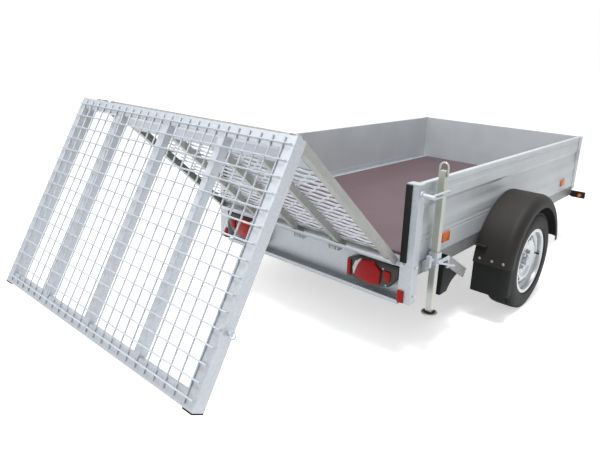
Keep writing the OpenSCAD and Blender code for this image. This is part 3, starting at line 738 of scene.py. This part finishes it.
# %% [markdown]
# ## The expanded metal of the inner leaf
#
# Expanded metal is a sheet that was slit and stretched: flat strands run
# across the leaf in a shallow wave, each joined to the next by short bonds,
# so the openings are long slots that stand staggered from row to row. One
# strand with its bonds is modelled as a mesh, and an array of Geometry Nodes
# repeats it up the leaf, every second row shifted by half an opening. A plain
# strip of sheet closes the mesh at the hinge, on the underside of the leaf.

# %% Expanded metal


def strand_mesh(half_x, opening, pitch, width, thick):
    """One waved strand along X with the bonds up to the next row."""
    bm = bmesh.new()
    count = int(2 * half_x / (opening / 4))
    rings = []
    for i in range(count + 1):
        x = -half_x + 2 * half_x * i / count
        level = 0.11 * pitch * math.cos(2 * math.pi * x / opening)
        tilt = thick * 0.8
        rings.append([bm.verts.new(c) for c in (
            (x, level - width / 2, -tilt), (x, level + width / 2, tilt),
            (x, level + width / 2, tilt + thick),
            (x, level - width / 2, thick - tilt))])
    for here, there in zip(rings, rings[1:]):
        for i in range(4):
            j = (i + 1) % 4
            bm.faces.new((here[i], here[j], there[j], there[i]))
    bm.faces.new(rings[0])
    bm.faces.new(rings[-1])
    bonds = int(half_x / opening)
    for k in range(-bonds, bonds + 1):
        middle = k * opening
        if abs(middle) < half_x - opening * 0.6:
            add_box(bm, (middle - width * 0.45, 0, 0),
                    (middle + width * 0.45, pitch, thick))
    bmesh.ops.recalc_face_normals(bm, faces=bm.faces)
    mesh = bpy.data.meshes.new("strand")
    bm.to_mesh(mesh)
    bm.free()
    return mesh


def strand_array(name, strand, length, pitch, shift, material, matrix):
    tree = Tree(name + "_tree", **{"Row pitch": pitch, "Row shift": shift,
                                   "Rows": int(length / pitch)})
    points = tree.node("GeometryNodeMeshLine", Count=tree.value("Rows"),
                       Offset=tree.vector(y=tree.value("Row pitch")))
    index = tree.node("GeometryNodeInputIndex").outputs[0]
    odd = tree.math("MODULO", index, 2.0)
    side = tree.math("MULTIPLY", odd, tree.value("Row shift"))
    moved = tree.node("GeometryNodeSetPosition",
                      Geometry=points.outputs["Mesh"],
                      Offset=tree.vector(x=side))
    rows = tree.node("GeometryNodeInstanceOnPoints",
                     Points=moved.outputs[0],
                     Instance=tree.start.outputs["Shape"])
    tree.finish(rows.outputs[0], material)
    return run_tree(tree, name, strand, matrix)


MESH_OPENING = 0.092
MESH_PITCH = 0.038
STRAND_WIDTH = 0.0090
STRAND_THICK = 0.0022
MESH_SHIFT = MESH_OPENING / 2
strand_half = grate_high.x - 0.004 - MESH_SHIFT
strand = strand_mesh(strand_half, MESH_OPENING, MESH_PITCH,
                     STRAND_WIDTH, STRAND_THICK)
grating_length = grate_high.y - grate_low.y - 0.03
grating = strand_array("inner_expanded_metal", strand, grating_length,
                       MESH_PITCH, MESH_SHIFT, FINISH["bright_zinc"],
                       INNER @ Matrix.Translation(
                           (-MESH_SHIFT / 2, grate_low.y + 0.02,
                            grate_low.z + 0.001)))
hand_over(grating, "inner_leaf", ["inner_leaf_grating"])
sill = bmesh.new()
add_box(sill, (inner_low.x + 0.004, 0.015, -0.0015),
        (inner_high.x - 0.004, 0.060, 0.0015))
sill = to_object(sill, "inner_sill_strip", "bright_zinc", INNER)
bevel(sill, 0.0012)
hand_over(sill, "inner_leaf")
print("expanded metal:", len(grating.data.polygons), "faces")

# %% [markdown]
# ## Wheels: tyre, rim and nuts
#
# The tyre is a turned carcass with bead, sidewall and shoulder, and five rows
# of rubber blocks that Geometry Nodes repeat round the tread. The wheel is a
# pressed steel one: a rolled band with its drop centre, and a dished disc
# with pairs of round vents, cut with one boolean each. Nuts, a valve and a
# grease cap complete it. Both wheels ride on the bodies that spin.

# %% Tyre carcass and tread


def points_of(node, side=1):
    """Points of one half of a node that lies on both sides."""
    return [v.co for v in NODES[node].data.vertices if v.co.x * side > 0]


def span(points, axis):
    values = [p[axis] for p in points]
    return min(values), max(values)


tyre_low, tyre_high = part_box("tyre_right")
rim_low, rim_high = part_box("rim_right")
TYRE_R = (tyre_high.z - tyre_low.z) / 2
RIM_R = (rim_high.z - rim_low.z) / 2
TREAD_BASE = TYRE_R - 0.0065


def tyre_outline():
    half = [(RIM_R - 14 * MM, 30 * MM), (RIM_R - 14 * MM, 62 * MM),
            (RIM_R - 1 * MM, 63 * MM), (RIM_R + 3 * MM, 69 * MM),
            (RIM_R + 7 * MM, 73 * MM), (RIM_R + 10 * MM, 73.2 * MM),
            (RIM_R + 12 * MM, 75 * MM), (RIM_R + 32 * MM, 77.4 * MM),
            (RIM_R + 50 * MM, 76.6 * MM), (RIM_R + 66 * MM, 73.2 * MM),
            (TREAD_BASE - 8 * MM, 68 * MM), (TREAD_BASE - 2 * MM, 60 * MM),
            (TREAD_BASE, 50 * MM)]
    inside = [(RIM_R - 2 * MM, 50 * MM), (TREAD_BASE - 20 * MM, 62 * MM),
              (TREAD_BASE - 11 * MM, 40 * MM)]
    mirrored = [(r, -x) for r, x in reversed(half)]
    return (half + mirrored + [(r, -x) for r, x in inside]
            + list(reversed(inside)))


def tread_row(tree, count, x, width, radius, tilt, phase):
    """One ring of blocks about the wheel's axis."""
    line = tree.node("GeometryNodeMeshLine", Count=count)
    index = tree.node("GeometryNodeInputIndex").outputs[0]
    turn = tree.math("MULTIPLY", tree.math("ADD", index, phase),
                     tree.math("DIVIDE", 2 * math.pi, count))
    where = tree.vector(
        x=x, y=tree.math("MULTIPLY", tree.math("COSINE", turn), radius),
        z=tree.math("MULTIPLY", tree.math("SINE", turn), radius))
    ring = tree.node("GeometryNodeSetPosition", Geometry=line.outputs["Mesh"],
                     Position=where)
    cube = tree.node("GeometryNodeMeshCube",
                     Size=tree.vector(x=width, y=tree.value("Block height"),
                                      z=tree.value("Block length")))
    leaned = tree.node("GeometryNodeTransform", Geometry=cube.outputs["Mesh"],
                       Rotation=(0, 0, tilt))
    return tree.node("GeometryNodeInstanceOnPoints",
                     Points=ring.outputs[0], Instance=leaned.outputs[0],
                     Rotation=tree.vector(x=turn)).outputs[0]


def tread(name, place):
    tree = Tree(name + "_tree", **{
        "Blocks": 62, "Block length": 0.0225, "Block height": 0.0100})
    rows = [(0.0, 0.017, -5.0, 0.0, 0.0), (0.0245, 0.021, -5.2, 0.0, 0.5),
            (-0.0245, 0.021, -5.2, 0.0, 0.5), (0.0525, 0.024, -7.2, -0.16, 0.1),
            (-0.0525, 0.024, -7.2, 0.16, 0.1)]
    join = tree.node("GeometryNodeJoinGeometry")
    for x, width, drop, tilt, phase in rows:
        row = tread_row(tree, tree.value("Blocks"), x, width,
                        TYRE_R + drop * MM, tilt, phase)
        tree.group.links.new(row, join.inputs[0])
    tree.finish(join.outputs[0], FINISH["tyre_rubber"])
    return run_tree(tree, name, matrix=place)


for name in SIDES:
    place = Matrix.Translation(joint_point("wheel_" + name + "_spin"))
    body = "wheel_" + name
    carcass = to_object(swept(tyre_outline(), 96), "tyre_carcass_" + name,
                        "tyre_rubber", place)
    hand_over(carcass, body, ["tyre_" + name])
    blocks = tread("tyre_tread_" + name, place)
    hand_over(blocks, body, smooth=False)
print("tyres:", len(carcass.data.polygons), "+", len(blocks.data.polygons))

# %% Rim band and vented disc


def band_outline():
    skin = [(178, 70), (182, 69), (182.5, 66.5), (179, 64.5), (169, 64),
            (166, 60), (165, 40), (160, 34), (147, 30), (143, 24),
            (143, -30), (147, -36), (160, -40), (165, -44), (165, -60),
            (169, -64), (179, -64.5), (182, -66), (182, -69), (178, -70),
            (165, -68), (161.5, -60), (161.5, -45), (157, -43.5),
            (143, -39), (139.5, -31), (139.5, 25), (143.5, 33.5),
            (157, 37.5), (161.5, 43), (161.5, 60), (165, 68)]
    return [(RIM_R + (r - 182) * MM, x * MM) for r, x in skin]


def disc_outline():
    skin = [(29.5, 33), (72, 33), (80, 35), (92, 42), (102, 46.5),
            (114, 47), (124, 44), (132, 37), (137, 28), (140, 22), (140, 16),
            (134, 26), (129, 34), (122, 40.5), (114, 43), (103, 42.5),
            (94, 38.5), (82, 31), (74, 29), (29.5, 29)]
    return [(r * MM, x * MM) for r, x in skin]


def cut_holes(obj, holes):
    """Cuts a mesh of plain cylinders out of a piece."""
    cutter = bpy.data.objects.new("cutter", holes)
    bpy.context.scene.collection.objects.link(cutter)
    cut = obj.modifiers.new("holes", "BOOLEAN")
    cut.operation = "DIFFERENCE"
    cut.object = cutter
    bpy.context.view_layer.update()
    bake(obj)
    bpy.data.objects.remove(cutter)


def vent_cutters(place, side):
    bm = bmesh.new()
    for step in range(8):
        for twin in (-6.5, 6.5):
            turn = math.radians(45 * step + twin)
            y, z = 0.119 * math.cos(turn), 0.119 * math.sin(turn)
            rod(bm, (side * 0.02, y, z), (side * 0.07, y, z), 0.0095, 16)
    bmesh.ops.recalc_face_normals(bm, faces=bm.faces)
    bm.transform(place)
    mesh = bpy.data.meshes.new("vents")
    bm.to_mesh(mesh)
    bm.free()
    return mesh


def mirrored(outline, side):
    return [(r, side * x) for r, x in outline]


for name, side in SIDES.items():
    place = Matrix.Translation(joint_point("wheel_" + name + "_spin"))
    body = "wheel_" + name
    band = to_object(swept(mirrored(band_outline(), side), 96),
                     "rim_band_" + name, "wheel_silver", place)
    hand_over(band, body, ["rim_" + name])
    disc = to_object(swept(mirrored(disc_outline(), side), 96),
                     "rim_disc_" + name, "wheel_silver", place)
    cut_holes(disc, vent_cutters(place, side))
    hand_over(disc, body)
    cap = [(0.5, 60), (12, 59.5), (20, 57.5), (25, 53), (26, 46),
           (26, 40), (0.5, 40)]
    cap = to_object(swept([(r * MM, side * x * MM) for r, x in cap], 32),
                    "grease_cap_" + name, "bright_zinc", place)
    hand_over(cap, body)
    valve = bmesh.new()
    rod(valve, (side * 0.036, 0.152, 0.0), (side * 0.062, 0.146, 0.0), 0.0042)
    valve = to_object(valve, "valve_" + name, "black_rubber", place)
    hand_over(valve, body)
print("rims:", len(band.data.polygons), "+", len(disc.data.polygons))

# %% [markdown]
# ## Screws, nuts and rivets
#
# Every fastener is one head instanced on a list of points: a low dome for
# rivets and screws, a hexagon with its washer for bolts. The tree takes the
# head's radius and height as inputs and turns it towards the given side.

# %% Fastener tree
TURN_TO = {"+X": (0, math.pi / 2, 0), "-X": (0, -math.pi / 2, 0),
           "+Y": (-math.pi / 2, 0, 0), "-Y": (math.pi / 2, 0, 0),
           "+Z": (0, 0, 0), "-Z": (math.pi, 0, 0)}


def fasteners(name, places, facing, kind, radius, height, slot, body):
    """Instances one kind of head on the given points."""
    base = bpy.data.meshes.new(name + "_points")
    base.from_pydata([tuple(p) for p in places], [], [])
    tree = Tree(name + "_tree", **{"Head radius": radius,
                                   "Head height": height})
    if kind == "dome":
        head = tree.node("GeometryNodeMeshUVSphere", Segments=12, Rings=6,
                         Radius=1.0).outputs["Mesh"]
        head = tree.node("GeometryNodeTransform", Geometry=head,
                         Scale=tree.vector(x=tree.value("Head radius"),
                                           y=tree.value("Head radius"),
                                           z=tree.value("Head height")))
    else:
        nut = tree.node("GeometryNodeMeshCylinder", Vertices=6,
                        Radius=tree.value("Head radius"),
                        Depth=tree.value("Head height"))
        raised = tree.node("GeometryNodeTransform",
                           Geometry=nut.outputs["Mesh"],
                           Translation=tree.vector(z=tree.math(
                               "MULTIPLY", tree.value("Head height"), 0.62)))
        washer = tree.node("GeometryNodeMeshCylinder", Vertices=16,
                           Radius=tree.math(
                               "MULTIPLY", tree.value("Head radius"), 1.45),
                           Depth=tree.math(
                               "MULTIPLY", tree.value("Head height"), 0.24))
        head = tree.node("GeometryNodeJoinGeometry")
        tree.group.links.new(raised.outputs[0], head.inputs[0])
        tree.group.links.new(washer.outputs["Mesh"], head.inputs[0])
    spread = tree.node("GeometryNodeInstanceOnPoints",
                       Points=tree.start.outputs["Shape"],
                       Instance=head.outputs[0], Rotation=TURN_TO[facing])
    tree.finish(spread.outputs[0], FINISH[slot])
    obj = run_tree(tree, name, base)
    return hand_over(obj, body, smooth=kind == "dome")


def at(x, y, z):
    """A point counted from the box's rear end and the walls' lower edge."""
    return Vector((x, REAR_Y + y, DECK + z))


floor_z = floor_high.z - DECK
strip_x = wall_low.x - 0.014
strip_rows = [0.18 + 0.30 * i for i in range(7)]
for name, side in SIDES.items():
    facing = "+X" if side > 0 else "-X"
    inward = "-X" if side > 0 else "+X"
    fasteners("strip_screws_" + name,
              [at(side * strip_x, y, floor_z) for y in strip_rows],
              "+Z", "dome", 0.0055, 0.0022, "galvanised", "root")
    fasteners("wall_screws_" + name,
              [at(side * (wall_low.x - 0.002), y + 0.15, floor_z + 0.016)
               for y in strip_rows[:-1]],
              inward, "dome", 0.0050, 0.0024, "galvanised", "root")
    hub = joint_point("wheel_" + name + "_spin")
    bolts = [hub + Vector((side * 0.034,
                           0.05 * math.cos(math.radians(45 + 90 * i)),
                           0.05 * math.sin(math.radians(45 + 90 * i))))
             for i in range(4)]
    fasteners("wheel_nuts_" + name, bolts, facing, "hex", 0.0105, 0.014,
              "bright_zinc", "wheel_" + name)
    post_x = side * post_high.x
    fasteners("post_bolts_" + name,
              [at(post_x, 0.03, -0.155), at(post_x, 0.03, -0.02)],
              facing, "hex", 0.008, 0.006, "bright_zinc", "root")
    fasteners("corner_bolts_" + name,
              [at(side * (post_high.x - 0.047), 0.0, -0.012)],
              "-Y", "hex", 0.007, 0.006, "bright_zinc", "root")
    fasteners("flap_rivets_" + name,
              [at(side * x, 0.6155, -0.125) for x in (0.668, 0.735, 0.795)],
              "-Y", "dome", 0.0075, 0.0035, "galvanised", "root")
print("screws, nuts and rivets done")

# %% [markdown]
# ## Lamps and reflectors
#
# A trailer lamp is a black moulded housing with bonded lenses. The outline of
# housing and lenses is drawn in the plane of the crossmember and given its
# depth, then all edges are rounded. The lamps of both sides mirror each
# other.

# %% Tail lamps
lamp_x = span(points_of("tail_lamps"), 0)
lamp_z = span(points_of("tail_lamps"), 2)
lamp_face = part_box("tail_lamps")[0].y
LAMP_LOW = lamp_z[0]


def lamp_part(name, slot, outline, low, high, width, replaces=()):
    """A rounded prism on both lamps; the outline counts from their corner."""
    bm = bmesh.new()
    for side in SIDES.values():
        plate(bm, [(side * (lamp_x[0] + x * MM), LAMP_LOW + z * MM)
                   for x, z in outline],
              lamp_face - high * MM, lamp_face - low * MM)
    obj = to_object(bm, name, slot)
    bevel(obj, width * MM)
    return hand_over(obj, "root", replaces)


lamp_part("lamp_housings", "lamp_black",
          [(0, 4), (0, 94), (78, 124), (283, 124), (283, 76), (237, 15),
           (153, 0), (60, 0)], -47.5, 1, 5, ["tail_lamps"])
lamp_part("lamp_main_lenses", "lamp_red",
          [(52, 24), (70, 76), (91, 113), (151, 119), (197, 84), (191, 16),
           (150, 7), (95, 12)], -2, 14, 5, ["tail_lenses"])
lamp_part("lamp_clear_lenses", "lamp_clear",
          [(46, 30), (41, 62), (54, 94), (80, 112), (87, 110), (66, 76),
           (50, 30)], -2, 12, 2)
lamp_part("lamp_small_lenses", "lamp_red",
          [(211, 42), (211, 92), (246, 92), (246, 42)], -2, 9, 3)
lamp_part("lamp_edge_lenses", "lamp_red",
          [(4, 14), (4, 88), (25, 94), (25, 12)], -2, 7, 3)
lamp_points = [(202, 96), (222, 22)]
for name, side in SIDES.items():
    fasteners("lamp_screws_" + name,
              [Vector((side * (lamp_x[0] + x * MM), lamp_face - 0.001,
                       LAMP_LOW + z * MM)) for x, z in lamp_points],
              "-Y", "dome", 0.0042, 0.002, "bright_zinc", "root")
print("lamps done")

# %% [markdown]
# ## Rounded edges of sheet, rubber and castings
#
# No real edge is perfectly sharp, and it is the rounding that catches the
# light. Solid small parts of the frame are copied, their flat faces merged,
# and their edges rounded; the copy then stands for the original.

# %% Softened copies


def softened(node, body, width, segments=2):
    """A copy of a part with rounded edges, standing for the part."""
    bm = bmesh.new()
    bm.from_mesh(NODES[node].data)
    bmesh.ops.remove_doubles(bm, verts=bm.verts, dist=2e-6)
    bmesh.ops.dissolve_limit(bm, angle_limit=math.radians(0.5),
                             verts=bm.verts, edges=bm.edges)
    obj = to_object(bm, node + "_rounded", SLOT_OF[node])
    bevel(obj, width * MM, segments, 30)
    return hand_over(obj, body, [node])


SOFT = {"post_seals": 2, "rear_reflectors": 2.5, "side_reflectors": 2.5,
        "wheel_chocks": 3, "coupling_handle": 4, "jockey_crank": 2.5,
        "marker_arms": 3}
for node, width in SOFT.items():
    softened(node, "root", width)
print("rounded:", ", ".join(SOFT))

# %% [markdown]
# ## Guard lips, marker lenses, stand levers and foot rings
#
# The lip of a moulded mudguard is rolled over into a bead. The side marker
# has a round amber lens facing back. Each stand is held by a clamp, which is
# tightened with a bent lever, and a rubber ring keeps its foot quiet. A curve
# with a round bevel would draw the lip and the lever; here one helper lays
# rings along a line of points, because that gives a closed mesh at once.

# %% Lips, lenses, levers and rings


LIP_RADIUS = 0.0042
LIP_INSET = 0.040
LIP_STEPS = 40
LENS_RADIUS = 0.0125
FOOT_RING_RADIUS = 0.026
LEVER_RADIUS = 0.0050


def guard_lip(name, side):
    """A bead along the outer edge of one mudguard."""
    low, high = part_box("mudguard_" + name)
    hub = joint_point("wheel_" + name + "_spin")
    x = side * (max(abs(low.x), abs(high.x)) - 0.005)
    radius = high.z - hub.z - LIP_INSET
    points = []
    for step in range(LIP_STEPS + 1):
        turn = math.radians(10 + 162 * step / LIP_STEPS)
        points.append((x, hub.y + radius * math.cos(turn),
                       hub.z + radius * math.sin(turn)))
    bm = bmesh.new()
    bent_rod(bm, points, LIP_RADIUS)
    piece = to_object(bm, "guard_lip_" + name, "black_plastic")
    hand_over(piece, "root")


def marker_lens(name, side):
    bm = bmesh.new()
    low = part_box("marker_arms")[0]
    x = side * (BOX_HALF + 0.062)
    z = DECK - 0.059
    rod(bm, (x, low.y - 0.003, z), (x, low.y + 0.004, z),
        LENS_RADIUS, 24)
    piece = to_object(bm, "marker_lens_" + name, "lamp_amber")
    hand_over(piece, "root")


def stand_parts(name, side):
    low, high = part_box("prop_stand_" + name)
    foot = Vector(((low.x + high.x) / 2, (low.y + high.y) / 2, low.z))
    bm = bmesh.new()
    rod(bm, foot + Vector((0, 0, 0.0065)), foot + Vector((0, 0, 0.0125)),
        FOOT_RING_RADIUS, 24)
    ring = to_object(bm, "foot_ring_" + name, "black_rubber")
    hand_over(ring, "stand_" + name)
    bm = bmesh.new()
    lever = [(0.690, 0.132, -0.012), (0.694, 0.150, -0.016),
             (0.698, 0.190, -0.030), (0.700, 0.230, -0.046),
             (0.700, 0.268, -0.058)]
    bent_rod(bm, [at(side * x, y, z) for x, y, z in lever],
             LEVER_RADIUS)
    lever = to_object(bm, "clamp_lever_" + name, "bright_zinc")
    hand_over(lever, "root")


for name, side in SIDES.items():
    guard_lip(name, side)
    marker_lens(name, side)
    stand_parts(name, side)
print("lips, lenses, levers and rings done")
